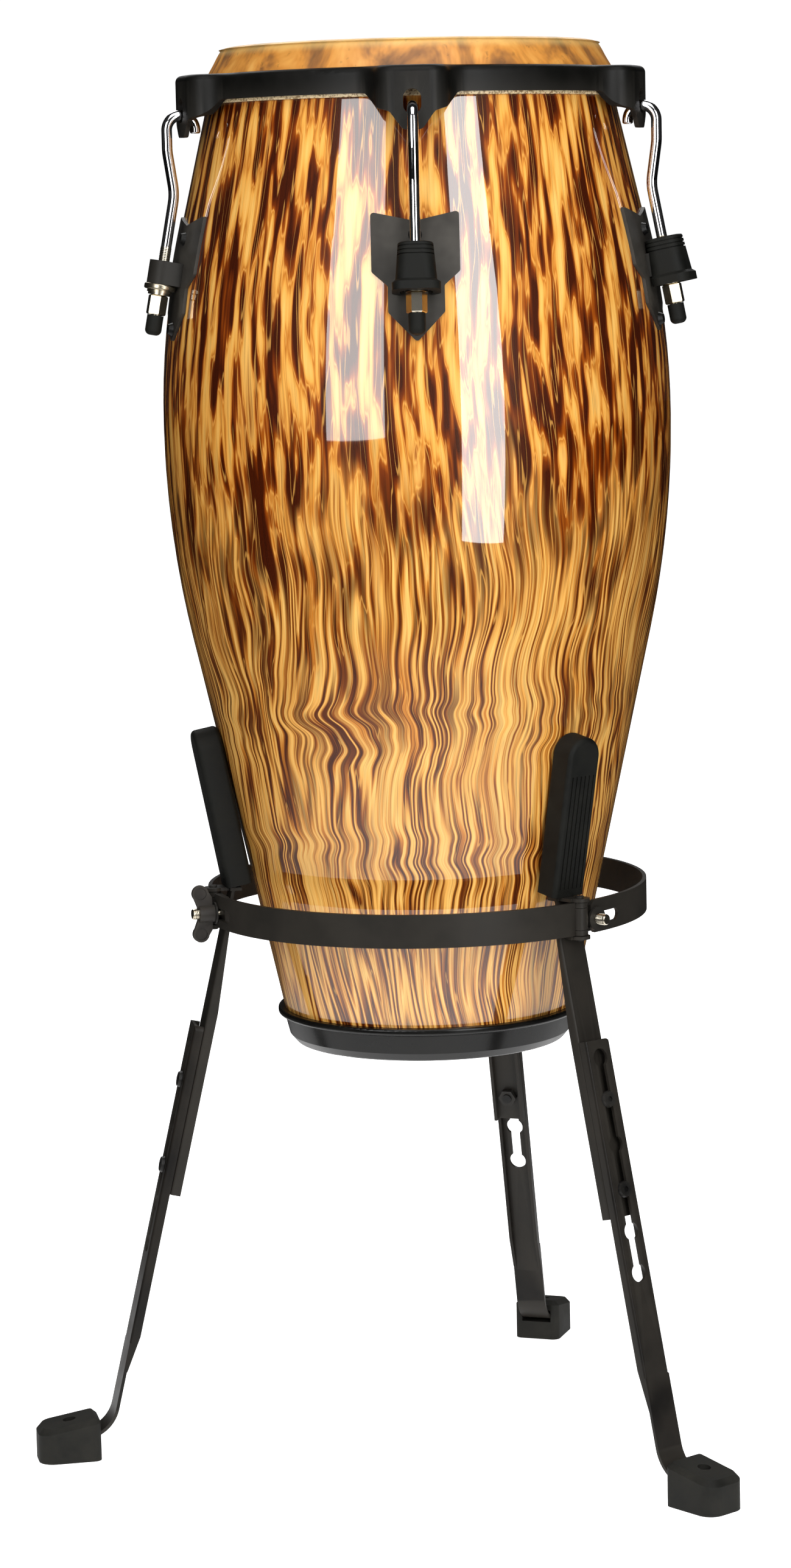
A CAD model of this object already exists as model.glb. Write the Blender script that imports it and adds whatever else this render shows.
import math

import bpy
import numpy as np
from mathutils import Matrix, Vector


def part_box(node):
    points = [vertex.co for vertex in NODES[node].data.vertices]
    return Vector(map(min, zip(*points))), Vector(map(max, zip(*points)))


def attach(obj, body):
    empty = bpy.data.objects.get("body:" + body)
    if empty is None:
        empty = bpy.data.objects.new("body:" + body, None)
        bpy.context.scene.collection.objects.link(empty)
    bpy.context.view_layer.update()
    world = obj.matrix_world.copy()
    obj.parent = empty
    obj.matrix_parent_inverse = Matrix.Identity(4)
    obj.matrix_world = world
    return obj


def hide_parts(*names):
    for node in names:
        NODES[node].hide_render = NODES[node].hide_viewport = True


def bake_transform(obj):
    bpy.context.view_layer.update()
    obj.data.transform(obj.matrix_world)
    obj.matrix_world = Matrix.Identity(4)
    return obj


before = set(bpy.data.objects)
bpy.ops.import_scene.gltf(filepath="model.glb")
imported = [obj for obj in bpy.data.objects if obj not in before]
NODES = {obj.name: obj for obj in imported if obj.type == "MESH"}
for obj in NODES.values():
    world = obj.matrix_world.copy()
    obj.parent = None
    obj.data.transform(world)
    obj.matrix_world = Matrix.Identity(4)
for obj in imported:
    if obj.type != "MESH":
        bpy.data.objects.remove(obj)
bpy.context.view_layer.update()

# Lengths are in metres. The floor is at z = 0 and the front of the drum faces -y.
MM = 0.001
HEAD_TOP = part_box("drumhead")[1][2]
HEAD_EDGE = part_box("drumhead")[0][2]

# the wood's figure: the heights above the floor where it changes
LEAN_FADE = (0.84, 0.62)                        # the lines lean more and more down through this
KINK_ROWS = ((0.575, 0.045), (0.475, 0.035))    # middle and half width of each row of kinks
DROP_ROW = (0.590, 0.045)                       # the same, of a row of small burnt drops
DROPS_FADE = (0.64, 0.80)                       # wavy lines below, drops above

# the hide's section in mm: radius and depth below its top
SKIN_OUTER = (
    (0.5, 0.0), (50.0, 0.0), (100.0, 0.0), (128.0, 0.0), (137.5, 0.2), (141.8, 1.6), (144.7, 5.0),
    (149.1, 13.0), (153.6, 21.0), (154.4, 26.0), (154.4, 33.0),
)
SKIN_INNER = (
    (152.9, 26.0), (152.1, 21.0), (147.3, 11.5), (143.0, 3.0), (140.5, 1.7), (100.0, 1.7), (0.5, 1.7),
)
# its folded edge in mm: distance in from the widest radius and height above its foot
FOLD_OUTER = ((0.5, 7.0), (0.0, 5.0), (0.0, 1.0), (0.8, 0.1))
FOLD_INNER = ((2.2, 0.1), (2.7, 1.0), (2.7, 4.0))
SKIRT_INNER_RADIUS = 152.9 * MM
SKIRT_INNER_RISE = 9.0 * MM     # above its foot
HEAD_COLUMNS = 288
PUCKER_SIZE = 0.175 * MM
PUCKER_INSET = 0.2 * MM         # keeps the puckers inside the smooth skin's radius, more or less
PUCKER_START = 2.0 * MM         # below the top
PUCKER_GROWTH = 10.0 * MM       # from there to their full size
PUCKER_END = 24.0 * MM          # below the top
PUCKER_WAVES = ((1.0, 23, 1.3), (0.6, 41, 0.4), (0.5, 9, 0.0))      # size, number round the head, phase

# threads
PITCH = 1.25 * MM
THREAD_RADIUS = 4.0 * MM
THREAD_CREST = 0.27 * MM        # above its root
THREAD_PROUD = 0.01 * MM        # its root above the rod
THREAD_COLUMNS = 28
ROWS_PER_TURN = 8
LUG_COUNT = 5
LUG_STEP = 2 * math.pi / LUG_COUNT
ROD_LEAN = math.radians(11.0)
DRUM_FOOT = 0.316
ROD_REF_RADIUS = 0.1966
ROD_REF_HEIGHT = DRUM_FOOT + 0.604
ROD_THREAD_ABOVE_REF = 0.011
ROD_THREAD_LENGTH = 0.052
LEGS = {"right": math.radians(41.3), "left": math.radians(-78.7), "rear": math.radians(161.3)}
STUD_AZIMUTH = math.radians(6.0)        # from its leg
STUD_HEIGHT = 0.4245
STUD_RUNS = {"right": (0.1722, 0.1802), "rear": (0.1722, 0.1802), "left": (0.1700, 0.1882)}

# studio
FLOOR_SIZE = 40.0
GLOW_RADII = (0.35, 1.1)        # the floor's glow as the camera sees it
GLOW_STRENGTHS = (0.78, 1.02)
BOUNCE_RADII = (0.2, 1.5)       # its light on the drum
BOUNCE_STRENGTHS = (0.62, 0.0)
DIM_RADII = (0.3, 1.5)          # its colour darkens outwards for all but the camera
BACKDROP_STRENGTH = 1.05
ROOM_FRONT = (0.08, 0.045)      # place from front to back, and brightness
ROOM_BACK = (0.62, 0.012)
MATT_FILL = 15.0                # how much more of the room matt surfaces get than glossy ones
CAMERA_PLACE = (-0.0229, -3.206, 0.948)
CAMERA_PITCH = math.radians(7.71)
CAMERA_ROLL = math.radians(-1.29)
CAMERA_LENS = 95.9
CAMERA_SENSOR = 36.0

# socket numbers of a Mix node in its colour mode
MIX_FACTOR = 0
MIX_FIRST = 6
MIX_SECOND = 7
MIX_RESULT = 2


# ---------------------------------------------------------------- node helpers
def linear(red, green, blue):
    """A colour given in 0-255 display values, as linear RGBA."""
    values = [c / 255 for c in (red, green, blue)]
    return (*[v / 12.92 if v <= 0.04045 else ((v + 0.055) / 1.055) ** 2.4 for v in values], 1.0)


def grey(level):
    """A linear grey, as RGBA."""
    return (level, level, level, 1)


class Recipe:
    """A node material: a Principled shader and short calls that add nodes to it."""

    def __init__(self, name, **shader):
        self.made = bpy.data.materials.new(name)
        self.made.use_nodes = True
        self.tree = self.made.node_tree
        self.tree.nodes.clear()
        self.shader = self.node("ShaderNodeBsdfPrincipled")
        output = self.node("ShaderNodeOutputMaterial")
        self.tree.links.new(self.shader.outputs[0], output.inputs[0])
        for socket, value in shader.items():
            self.feed(self.shader, socket.replace("_", " "), value)

    def feed(self, node, socket, value):
        """Set a socket, by a constant or by a link from another node."""
        if isinstance(value, bpy.types.NodeSocket):
            self.tree.links.new(value, node.inputs[socket])
        else:
            node.inputs[socket].default_value = value

    def node(self, kind, sockets=None, **settings):
        """Add a node, with its settings and what its sockets get."""
        made = self.tree.nodes.new(kind)
        for key, value in settings.items():
            setattr(made, key, value)
        for socket, value in (sockets or {}).items():
            self.feed(made, socket, value)
        return made

    def place(self):
        """The point on the object, in metres."""
        return self.node("ShaderNodeTexCoord").outputs["Object"]

    def height(self):
        """The height of that point."""
        return self.node("ShaderNodeSeparateXYZ", {"Vector": self.place()}).outputs[2]

    def calc(self, operation, *values):
        """Arithmetic on numbers."""
        sockets = dict(enumerate(values))
        return self.node("ShaderNodeMath", sockets, operation=operation).outputs[0]

    def vector(self, operation, *values):
        """Arithmetic on vectors."""
        sockets = dict(enumerate(values))
        made = self.node("ShaderNodeVectorMath", sockets, operation=operation)
        return made.outputs["Value" if operation in ("DOT_PRODUCT", "LENGTH") else "Vector"]

    def noise(self, vector, scale, detail=2.0, roughness=0.5, distortion=0.0):
        """Smooth noise, about 0.5 on average."""
        sockets = {
            "Vector": vector,
            "Scale": scale,
            "Detail": detail,
            "Roughness": roughness,
            "Distortion": distortion,
        }
        return self.node("ShaderNodeTexNoise", sockets).outputs[0]

    def ramp(self, factor, stops):
        """A colour ramp, from (place, colour) stops."""
        made = self.node("ShaderNodeValToRGB", {"Fac": factor})
        elements = made.color_ramp.elements
        while len(elements) < len(stops):
            elements.new(0.5)
        for element, (place, colour) in zip(elements, stops):
            element.position = place
            element.color = colour
        return made.outputs[0]

    def spread(self, value, low, high, to_low=0.0, to_high=1.0):
        """Map a value from one range to another, smoothly and clamped."""
        sockets = {"Value": value, "From Min": low, "From Max": high, "To Min": to_low, "To Max": to_high}
        return self.node("ShaderNodeMapRange", sockets, interpolation_type="SMOOTHSTEP").outputs[0]

    def blend(self, factor, first, second, mode="MIX"):
        """Mix two colours: the first at 0, the second at 1."""
        sockets = {MIX_FACTOR: factor, MIX_FIRST: first, MIX_SECOND: second}
        return self.node("ShaderNodeMix", sockets, data_type="RGBA", blend_type=mode).outputs[MIX_RESULT]

    def bump(self, height, distance, strength):
        """Give the surface a fine relief."""
        sockets = {"Height": height, "Distance": distance, "Strength": strength}
        self.feed(self.shader, "Normal", self.node("ShaderNodeBump", sockets).outputs[0])

    def round_the_drum(self, turn=0.0):
        """The direction out from the drum's axis, as a vector of length 1, turned about it."""
        flat = self.vector("MULTIPLY", self.place(), (1, 1, 0))
        sockets = {"Vector": self.vector("NORMALIZE", flat), "Angle": turn}
        return self.node("ShaderNodeVectorRotate", sockets, rotation_type="Z_AXIS").outputs[0]


# ---------------------------------------------------------------- wood
def wood_material():
    """Honey-coloured lacquered wood with a scorched figure: drops above, wavy lines below."""
    wood = Recipe("lacquered_wood", Coat_Roughness=0.02, Coat_IOR=1.9, Specular_IOR_Level=0.2,
                  Coat_Tint=linear(255, 244, 218))
    height = wood.height()
    place = wood.place()

    def offset(field, reach):
        """A field that swings about 0 instead of 0.5, scaled."""
        return wood.calc("MULTIPLY", wood.calc("SUBTRACT", field, 0.5), reach)

    def total(first, *others):
        for other in others:
            first = wood.calc("ADD", first, other)
        return first

    def swing(frequency, reach):
        """A slow sideways shift of the figure, in radians round the drum."""
        return offset(wood.noise(wood.vector("MULTIPLY", place, frequency), 1.0, 1.0), reach)

    def window(middle, half):
        """1 at one height of the drum, fading to 0 above and below it."""
        away = wood.calc("ABSOLUTE", wood.calc("SUBTRACT", height, middle))
        return wood.spread(away, half, 0.0)

    low_down = wood.spread(height, *LEAN_FADE)
    sway = swing((4.0, 4.0, 4.0), 0.22)
    lean = wood.calc("MULTIPLY", swing((7.0, 7.0, 9.0), 0.30), low_down)
    kinks = total(*[window(*row) for row in KINK_ROWS])
    jog = wood.calc("MULTIPLY", swing((10.0, 10.0, 30.0), 0.22), kinks)
    around = wood.round_the_drum(total(sway, lean, jog))

    def figure(across, along, detail=2.0, roughness=0.5, distortion=0.0):
        """Noise with so many cells to a radian round the drum and to a metre up it."""
        rise = wood.node("ShaderNodeCombineXYZ", {"Z": wood.calc("MULTIPLY", height, along)}).outputs[0]
        wide = wood.vector("MULTIPLY", around, (across, across, 0))
        return wood.noise(wood.vector("ADD", wide, rise), 1.0, detail, roughness, distortion)

    clumps = figure(6.0, 8.0, 1.0)
    drops = figure(21.0, 17.0, 1.2, 0.5, 0.25)
    streaks = figure(56.0, 14.0, 1.5)
    growth = figure(9.0, 3.4, 1.6, 0.42)
    threads = figure(80.0, 7.0, 2.0, 0.6)
    fibres = figure(230.0, 16.0, 1.0)

    # above, dark drops with a pale outline
    scorched = total(drops, offset(clumps, 0.26), offset(streaks, 0.26))
    upper_colour = wood.ramp(scorched, (
        (0.30, linear(255, 208, 126)),
        (0.40, linear(246, 184, 94)),
        (0.455, linear(204, 128, 46)),
        (0.474, linear(238, 176, 92)),
        (0.498, linear(170, 88, 16)),
        (0.54, linear(120, 50, 4)),
        (0.62, linear(70, 22, 1)),
    ))
    # below, lines that follow the contours of a slow figure
    rings = wood.calc("FRACT", wood.calc("MULTIPLY", total(growth, offset(threads, 0.06)), 10.0))
    dark_rings = wood.ramp(rings, (
        (0.00, linear(255, 212, 134)),
        (0.14, linear(214, 140, 56)),
        (0.30, linear(112, 52, 10)),
        (0.50, linear(66, 24, 3)),
        (0.64, linear(150, 80, 20)),
        (0.82, linear(246, 188, 104)),
        (1.00, linear(255, 212, 134)),
    ))
    # where they are burnt less, soft streaks instead
    soft = wood.ramp(threads, (
        (0.38, linear(255, 214, 138)),
        (0.50, linear(240, 176, 88)),
        (0.60, linear(150, 80, 20)),
    ))
    burnt = wood.spread(total(clumps, offset(figure(20.0, 6.0, 1.0), 0.7)), 0.34, 0.54, 0.25, 1.0)
    lower_colour = wood.blend(burnt, soft, dark_rings)
    # a row of small burnt drops where the lines kink
    small_drops = wood.spread(figure(34.0, 15.0, 1.0), 0.50, 0.60)
    row = wood.calc("MULTIPLY", small_drops, window(*DROP_ROW))
    lower_colour = wood.blend(wood.calc("MULTIPLY", row, 0.8), lower_colour, linear(92, 38, 5))
    upper = wood.spread(total(height, offset(clumps, 0.30), offset(drops, 0.30)), *DROPS_FADE)
    colour = wood.blend(upper, lower_colour, upper_colour)
    # thin pale lines run between the dark ones
    ridge = wood.calc("ABSOLUTE", wood.calc("SUBTRACT", figure(30.0, 9.0, 1.2, 0.5, 0.2), 0.5))
    veins = wood.spread(ridge, 0.018, 0.003, 0.0, 0.5)
    colour = wood.blend(veins, colour, linear(250, 192, 106))
    fine = wood.spread(fibres, 0.50, 0.70, 1.0, 0.76)
    grain = wood.node("ShaderNodeCombineColor", {0: fine, 1: fine, 2: fine}).outputs[0]
    colour = wood.blend(1.0, colour, grain, "MULTIPLY")
    # the hollow side is plain, unlacquered wood
    normal = wood.node("ShaderNodeNewGeometry").outputs["True Normal"]
    facing = wood.vector("DOT_PRODUCT", wood.round_the_drum(), normal)
    inside = wood.spread(facing, -0.2, -0.6)
    bare = wood.ramp(threads, ((0.35, linear(120, 84, 50)), (0.65, linear(176, 134, 86))))
    wood.feed(wood.shader, "Base Color", wood.blend(inside, colour, bare))
    wood.feed(wood.shader, "Coat Weight", wood.calc("SUBTRACT", 1.0, inside))
    wood.feed(wood.shader, "Roughness", wood.spread(inside, 0.0, 1.0, 0.36, 0.8))
    wood.bump(wood.calc("ADD", fibres, wood.calc("MULTIPLY", threads, 0.6)), 0.1 * MM, 0.3)
    return wood.made


# ---------------------------------------------------------------- hide
def hide_material():
    """Amber hide with brown mottling, a paler worn top, and a pale cut edge."""
    hide = Recipe("hide", Subsurface_Weight=0.06, Subsurface_Scale=0.004)
    height = hide.height()
    place = hide.place()
    clouds = hide.noise(hide.vector("MULTIPLY", place, (26.0, 26.0, 12.0)), 1.0, 4.0, 0.6, 0.4)
    spots = hide.noise(place, 130.0, 3.0, 0.6)
    hairs = hide.noise(hide.vector("MULTIPLY", place, (900.0, 900.0, 160.0)), 1.0, 1.0)
    colour = hide.ramp(clouds, (
        (0.30, linear(84, 62, 38)),
        (0.41, linear(150, 98, 46)),
        (0.50, linear(204, 136, 56)),
        (0.62, linear(226, 166, 84)),
        (0.75, linear(214, 176, 108)),
    ))
    freckles = hide.spread(spots, 0.60, 0.72)
    colour = hide.blend(hide.calc("MULTIPLY", freckles, 0.5), colour, linear(96, 64, 30))
    worn = hide.spread(height, HEAD_TOP - 0.009, HEAD_TOP - 0.002)
    colour = hide.blend(hide.calc("MULTIPLY", worn, 0.55), colour, linear(222, 190, 120))
    edge_speckle = hide.ramp(hide.noise(place, 620.0, 2.0), (
        (0.38, linear(150, 122, 84)),
        (0.55, linear(236, 214, 172)),
    ))
    cut_edge = hide.spread(height, HEAD_EDGE + 0.0085, HEAD_EDGE + 0.006)
    colour = hide.blend(cut_edge, colour, edge_speckle)
    hide.feed(hide.shader, "Base Color", colour)
    hide.feed(hide.shader, "Roughness", hide.spread(clouds, 0.3, 0.7, 0.48, 0.34))
    pores = hide.calc("MULTIPLY", spots, 0.25)
    nap = hide.calc("MULTIPLY", hairs, 0.1)
    hide.bump(hide.calc("ADD", clouds, hide.calc("ADD", pores, nap)), 0.6 * MM, 0.5)
    return hide.made


# ---------------------------------------------------------------- coatings, rubber, metals
def coated_material(name, dark, light, roughness, coat=0.0, grain=900.0):
    """A black coating: a fine orange-peel skin, dust in its tone and rubbed corners."""
    paint = Recipe(name, Coat_Weight=coat, Coat_Roughness=0.2, Specular_IOR_Level=0.2)
    place = paint.place()
    peel = paint.noise(place, grain, 2.0)
    dust = paint.noise(place, 24.0, 3.0, 0.6)
    colour = paint.ramp(dust, ((0.35, dark), (0.65, light)))
    sharp = paint.node("ShaderNodeNewGeometry").outputs["Pointiness"]
    rubbed = paint.calc("MULTIPLY", paint.spread(sharp, 0.54, 0.62), 0.35)
    colour = paint.blend(rubbed, colour, linear(62, 59, 54))
    paint.feed(paint.shader, "Base Color", colour)
    paint.feed(paint.shader, "Roughness", paint.spread(dust, 0.3, 0.7, roughness - 0.05, roughness + 0.06))
    paint.bump(peel, 0.06 * MM, 0.5)
    return paint.made


def rubber_material(name, dark, light, roughness):
    """Matte moulded rubber with a faint bloom."""
    rubber = Recipe(name, Specular_IOR_Level=0.2)
    place = rubber.place()
    bloom = rubber.noise(place, 42.0, 4.0, 0.62)
    skin = rubber.noise(place, 1500.0, 2.0)
    rubber.feed(rubber.shader, "Base Color", rubber.ramp(bloom, ((0.32, dark), (0.68, light))))
    roughness = rubber.spread(bloom, 0.3, 0.7, roughness - 0.06, roughness + 0.1)
    rubber.feed(rubber.shader, "Roughness", roughness)
    rubber.bump(skin, 0.05 * MM, 0.6)
    return rubber.made


def metal_material(name, colour, dull, roughness):
    """Bright plated metal with a faint drawn texture and thumbed patches."""
    metal = Recipe(name, Metallic=1.0)
    place = metal.place()
    patches = metal.noise(place, 55.0, 3.0)
    drawn = metal.noise(metal.vector("MULTIPLY", place, (60.0, 60.0, 900.0)), 1.0, 2.0)
    metal.feed(metal.shader, "Base Color", metal.ramp(patches, ((0.4, colour), (0.72, dull))))
    metal.feed(metal.shader, "Roughness", metal.spread(patches, 0.35, 0.75, roughness, roughness + 0.08))
    metal.bump(drawn, 0.03 * MM, 0.15)
    return metal.made


WOOD = wood_material()
HIDE = hide_material()
BLACK_STEEL = coated_material("satin_black", linear(12, 12, 10), linear(20, 19, 17), 0.46)
PLATE_STEEL = coated_material("plate_black", linear(44, 41, 37), linear(70, 67, 62), 0.5)
STAND_STEEL = coated_material("stand_black", linear(16, 14, 12), linear(30, 26, 21), 0.42)
FASTENER = coated_material("black_oxide", linear(16, 16, 16), linear(34, 33, 31), 0.4, grain=1400.0)
CASTING = coated_material("cast_black", linear(34, 31, 29), linear(58, 54, 50), 0.5, grain=600.0)
RUBBER = rubber_material("rubber", linear(12, 13, 11), linear(24, 24, 20), 0.62)
FOOT_RUBBER = rubber_material("foot_rubber", linear(22, 22, 19), linear(38, 37, 33), 0.7)
BAND_PLASTIC = coated_material("band_black", linear(9, 9, 8), linear(18, 17, 15), 0.3,
                               coat=0.3, grain=500.0)
CHROME = metal_material("chrome", linear(236, 236, 238), linear(206, 206, 210), 0.05)
NICKEL = metal_material("nickel", linear(222, 214, 196), linear(176, 164, 140), 0.2)
STEEL = metal_material("plain_steel", linear(170, 170, 168), linear(130, 128, 124), 0.35)

FINISHES = {
    "shell": WOOD,
    "bottom_band": BAND_PLASTIC,
    "flesh_hoop": STEEL,
    "rim": BLACK_STEEL,
    "lug_receivers": BLACK_STEEL,
    "receiver_washers": NICKEL,
    "nut_washers": NICKEL,
    "plate_bolts": FASTENER,
    "plate_bolt_washers": NICKEL,
    "plate_bolt_nuts": NICKEL,
    "clamp_studs": NICKEL,
    "hinge_pins": FASTENER,
    "stud_collars": FASTENER,
    "wing_washer": FASTENER,
    "wing_nut": CASTING,
    "leg_screws": FASTENER,
    "leg_screw_nuts": FASTENER,
    "foot_screw": FASTENER,
    "side_plate": PLATE_STEEL,
    "tuning_hook": CHROME,
    "tuning_nut": NICKEL,
    "rod_cap": RUBBER,
    "lug_boot": RUBBER,
    "pad": RUBBER,
    "foot": FOOT_RUBBER,
}


def finish_of(node):
    """The material of a CAD node: by its own name, or by its name without its number or side."""
    family = node.rsplit("_", 1)[0]
    return FINISHES.get(node) or FINISHES.get(family) or STAND_STEEL


for name, piece in NODES.items():
    piece.data.materials.clear()
    piece.data.materials.append(finish_of(name))


# ---------------------------------------------------------------- mesh helpers
def outward(azimuth):
    """The level direction out from the drum's axis: 0 is the front, 90 degrees the right."""
    return Vector((math.sin(azimuth), -math.cos(azimuth), 0))


def up(height):
    return Vector((0, 0, height))


def mesh_piece(name, vertices, faces, material):
    """A smooth-shaded mesh of one material, placed in the scene."""
    mesh = bpy.data.meshes.new(name)
    mesh.from_pydata([tuple(v) for v in vertices], [], faces)
    mesh.validate()
    piece = bpy.data.objects.new(name, mesh)
    bpy.context.scene.collection.objects.link(piece)
    mesh.materials.append(material)
    for polygon in mesh.polygons:
        polygon.use_smooth = True
    return piece


def grid_faces(rows, columns):
    """Quads of a grid whose columns close round on themselves."""
    faces = []
    for row in range(rows - 1):
        here = row * columns
        above = here + columns
        for column in range(columns):
            beside = (column + 1) % columns
            faces.append((here + column, here + beside, above + beside, above + column))
    return faces


def smooth_path(points, steps):
    """Points along a Catmull-Rom curve through a profile's points."""
    points = [np.array(p, float) for p in points]
    ends = [2 * points[0] - points[1], *points, 2 * points[-1] - points[-2]]
    path = []
    for a, b, c, d in zip(ends, ends[1:], ends[2:], ends[3:]):
        for t in np.linspace(0, 1, steps, endpoint=False):
            point = 2 * b + (c - a) * t
            point += (2 * a - 5 * b + 4 * c - d) * t**2
            point += (3 * b - a - 3 * c + d) * t**3
            path.append(0.5 * point)
    path.append(points[-1])
    return path


# ---------------------------------------------------------------- drumhead
def make_drumhead():
    """The hide: a flat top, a soft corner, a skirt with faint puckers, and its folded edge."""
    low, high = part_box("drumhead")
    edge_radius = (high[0] - low[0]) / 2
    top, bottom = high[2], low[2]

    def from_top(points):
        return [(radius * MM, top - depth * MM) for radius, depth in points]

    def from_foot(points):
        return [(edge_radius - inset * MM, bottom + rise * MM) for inset, rise in points]

    outer = from_top(SKIN_OUTER) + from_foot(FOLD_OUTER)
    skirt = [(SKIRT_INNER_RADIUS, bottom + SKIRT_INNER_RISE)]
    inner = from_foot(FOLD_INNER) + skirt + from_top(SKIN_INNER)
    profile = smooth_path(outer, 4) + smooth_path(inner, 3)
    vertices = []
    for radius, height in profile:
        depth = top - height
        growth = min(1.0, max(0.0, (depth - PUCKER_START) / PUCKER_GROWTH))
        pucker = PUCKER_SIZE * growth if depth < PUCKER_END else 0.0
        inset = PUCKER_INSET if pucker > 0 else 0.0
        for column in range(HEAD_COLUMNS):
            angle = 2 * math.pi * column / HEAD_COLUMNS
            ripple = sum(size * math.sin(count * angle + phase) for size, count, phase in PUCKER_WAVES)
            reach = radius + pucker * ripple - inset
            vertices.append((reach * math.cos(angle), reach * math.sin(angle), height))
    faces = grid_faces(len(profile), HEAD_COLUMNS)
    faces.append(tuple(range(HEAD_COLUMNS)))
    faces.append(tuple(reversed(range(len(vertices) - HEAD_COLUMNS, len(vertices)))))
    head = mesh_piece("hide_drumhead", vertices, faces, HIDE)
    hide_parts("drumhead")
    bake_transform(head)


make_drumhead()


# ---------------------------------------------------------------- threads
def make_thread(name, body, start, along, length):
    """A rolled thread on a rod: one ridge that winds round it, proud of its surface."""
    rows = int(length / PITCH * ROWS_PER_TURN) + 1
    side = along.orthogonal().normalized()
    across = along.cross(side)
    vertices = []
    for row in range(rows):
        travel = length * row / (rows - 1)
        fade = min(1.0, travel / PITCH, (length - travel) / PITCH)
        for column in range(THREAD_COLUMNS):
            turn = column / THREAD_COLUMNS
            phase = (travel / PITCH - turn) % 1.0
            crest = 1.0 - abs(2.0 * phase - 1.0)
            reach = THREAD_RADIUS + (THREAD_PROUD + THREAD_CREST * crest) * fade
            angle = 2 * math.pi * turn
            spoke = side * math.cos(angle) + across * math.sin(angle)
            vertices.append(start + along * travel + spoke * reach)
    faces = grid_faces(rows, THREAD_COLUMNS)
    faces.append(tuple(reversed(range(THREAD_COLUMNS))))
    faces.append(tuple(range(len(vertices) - THREAD_COLUMNS, len(vertices))))
    thread = mesh_piece(name, vertices, faces, NICKEL)
    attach(thread, body)


for lug in range(LUG_COUNT):
    away = outward(lug * LUG_STEP)
    down = away * math.sin(ROD_LEAN) - up(math.cos(ROD_LEAN))
    top = away * ROD_REF_RADIUS + up(ROD_REF_HEIGHT) - down * ROD_THREAD_ABOVE_REF
    make_thread(f"rod_thread_{lug + 1}", f"hook_{lug + 1}", top, down, ROD_THREAD_LENGTH)

for leg, (inner, outer) in STUD_RUNS.items():
    away = outward(LEGS[leg] + STUD_AZIMUTH)
    start = away * inner + up(STUD_HEIGHT)
    make_thread(f"stud_thread_{leg}", "stand", start, away, outer - inner)


# ---------------------------------------------------------------- studio
def pale_material():
    """A white floor, lit from below as a studio table is, that fades out in reflections."""
    floor = Recipe("studio_floor", Roughness=0.8, Emission_Color=(1, 1, 1, 1))
    away = floor.vector("LENGTH", floor.place())
    seen = floor.node("ShaderNodeLightPath").outputs["Is Camera Ray"]
    unseen = floor.calc("SUBTRACT", 1.0, seen)
    glow = floor.calc("MULTIPLY", seen, floor.spread(away, *GLOW_RADII, *GLOW_STRENGTHS))
    bounced = floor.calc("MULTIPLY", unseen, floor.spread(away, *BOUNCE_RADII, *BOUNCE_STRENGTHS))
    floor.feed(floor.shader, "Emission Strength", floor.calc("ADD", glow, bounced))
    tone = floor.ramp(floor.noise(floor.place(), 1.5, 2.0), ((0.3, grey(0.88)), (0.7, grey(0.92))))
    dimmed = floor.calc("MULTIPLY", unseen, floor.spread(away, *DIM_RADII))
    floor.feed(floor.shader, "Base Color", floor.blend(dimmed, tone, grey(0.01)))
    return floor.made


bpy.ops.mesh.primitive_plane_add(size=FLOOR_SIZE, location=(0, 0, 0))
floor = bpy.context.object
floor.name = "studio_floor"
floor.data.materials.append(pale_material())


def softbox(name, azimuth, distance, bottom, top, width, radiance, aim_height=None):
    """An evenly bright rectangle, aimed at the drum's axis: level, or at a given height."""
    data = bpy.data.lights.new(name, "AREA")
    data.shape = "RECTANGLE"
    data.size = width
    data.size_y = top - bottom
    data.energy = radiance * math.pi * width * (top - bottom)
    lamp = bpy.data.objects.new(name, data)
    bpy.context.scene.collection.objects.link(lamp)
    height = (top + bottom) / 2
    lamp.location = outward(math.radians(azimuth)) * distance + up(height)
    aim = up(height if aim_height is None else aim_height)
    lamp.rotation_euler = (aim - lamp.location).to_track_quat("-Z", "Y").to_euler()


softbox("left_softbox", azimuth=-26.5, distance=1.7, bottom=0.66, top=1.94, width=0.76, radiance=4.0)
softbox("right_softbox", azimuth=27.3, distance=1.7, bottom=0.265, top=1.945, width=0.56, radiance=6.0)
softbox("top_softbox", azimuth=0.0, distance=1.3, bottom=2.2, top=4.2, width=2.4, radiance=2.2,
        aim_height=0.6)
softbox("back_softbox", azimuth=180.0, distance=2.2, bottom=1.9, top=3.5, width=2.4, radiance=3.0,
        aim_height=0.6)


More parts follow.
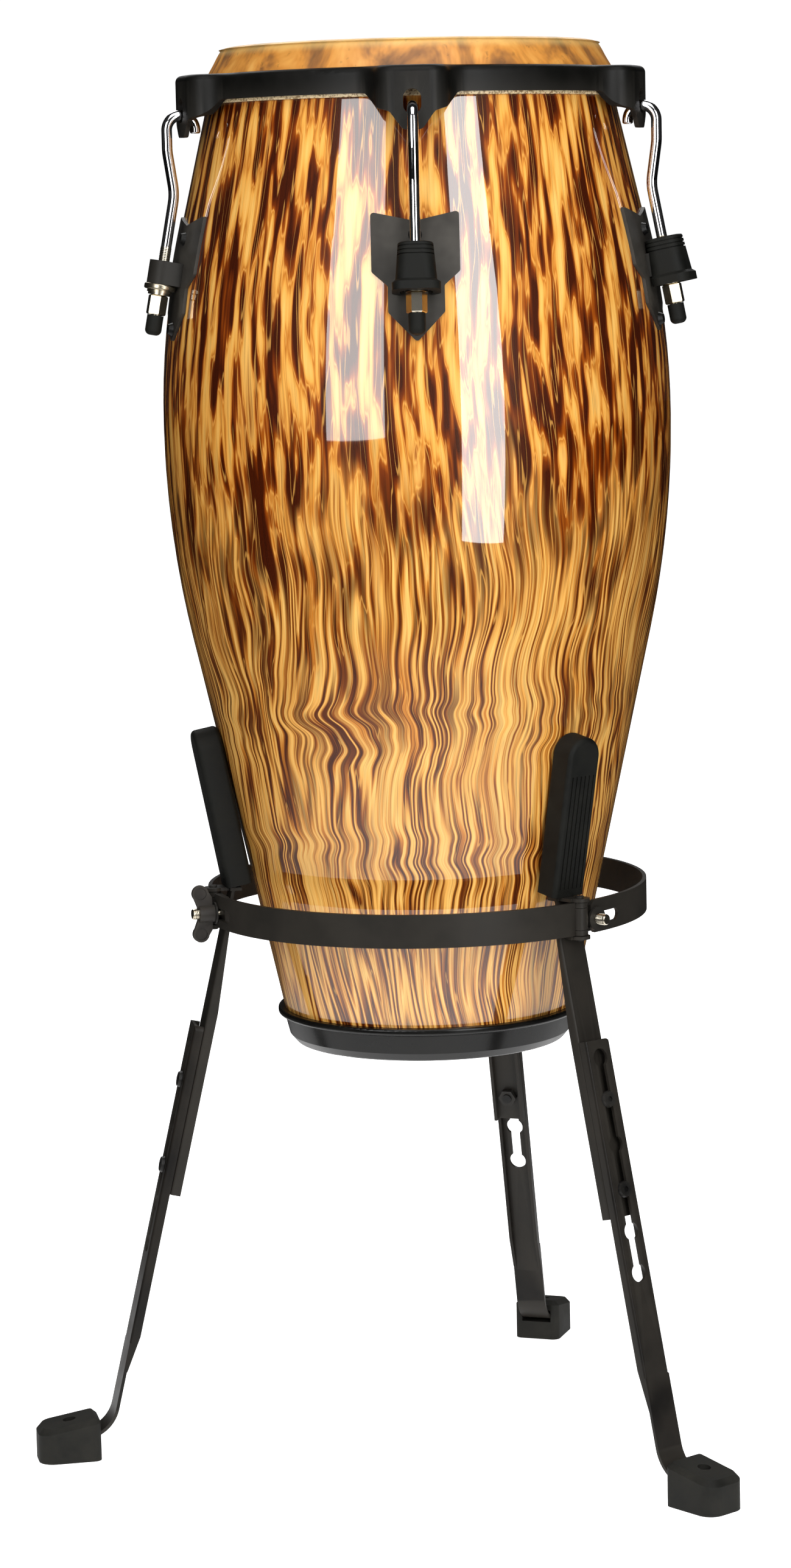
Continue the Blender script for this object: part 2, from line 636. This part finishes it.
def studio_world():
    """White to the camera. The drum gets a dim room, darker behind it, brighter on matt surfaces."""
    world = bpy.data.worlds.new("studio")
    bpy.context.scene.world = world
    world.use_nodes = True
    tree = world.node_tree
    tree.nodes.clear()
    backdrop = tree.nodes.new("ShaderNodeBackground")
    room = tree.nodes.new("ShaderNodeBackground")
    chosen = tree.nodes.new("ShaderNodeMixShader")
    path = tree.nodes.new("ShaderNodeLightPath")
    output = tree.nodes.new("ShaderNodeOutputWorld")
    direction = tree.nodes.new("ShaderNodeTexCoord")
    axes = tree.nodes.new("ShaderNodeSeparateXYZ")
    depth = tree.nodes.new("ShaderNodeMapRange")
    tint = tree.nodes.new("ShaderNodeValToRGB")
    fill = tree.nodes.new("ShaderNodeMath")
    backdrop.inputs["Color"].default_value = grey(1)
    backdrop.inputs["Strength"].default_value = BACKDROP_STRENGTH
    depth.inputs["From Min"].default_value = -1.0
    depth.inputs["From Max"].default_value = 1.0
    for element, (place, level) in zip(tint.color_ramp.elements, (ROOM_FRONT, ROOM_BACK)):
        element.position = place
        element.color = grey(level)
    fill.operation = "MULTIPLY_ADD"
    fill.inputs[1].default_value = MATT_FILL
    fill.inputs[2].default_value = 1.0
    for source, target in (
        (direction.outputs["Generated"], axes.inputs[0]),
        (axes.outputs[1], depth.inputs["Value"]),
        (depth.outputs[0], tint.inputs[0]),
        (tint.outputs[0], room.inputs["Color"]),
        (path.outputs["Is Diffuse Ray"], fill.inputs[0]),
        (fill.outputs[0], room.inputs["Strength"]),
        (path.outputs["Is Camera Ray"], chosen.inputs[0]),
        (room.outputs[0], chosen.inputs[1]),
        (backdrop.outputs[0], chosen.inputs[2]),
        (chosen.outputs[0], output.inputs[0]),
    ):
        tree.links.new(source, target)


studio_world()
bpy.context.scene.view_settings.view_transform = "Standard"

# ---------------------------------------------------------------- camera
camera = bpy.data.objects.new("camera", bpy.data.cameras.new("camera"))
bpy.context.scene.collection.objects.link(camera)
camera.data.sensor_fit = "VERTICAL"
camera.data.sensor_height = CAMERA_SENSOR
camera.data.lens = CAMERA_LENS
camera.matrix_world = (
    Matrix.Translation(CAMERA_PLACE)
    @ Matrix.Rotation(math.pi / 2 - CAMERA_PITCH, 4, "X")
    @ Matrix.Rotation(CAMERA_ROLL, 4, "Z")
)
bpy.context.scene.camera = camera
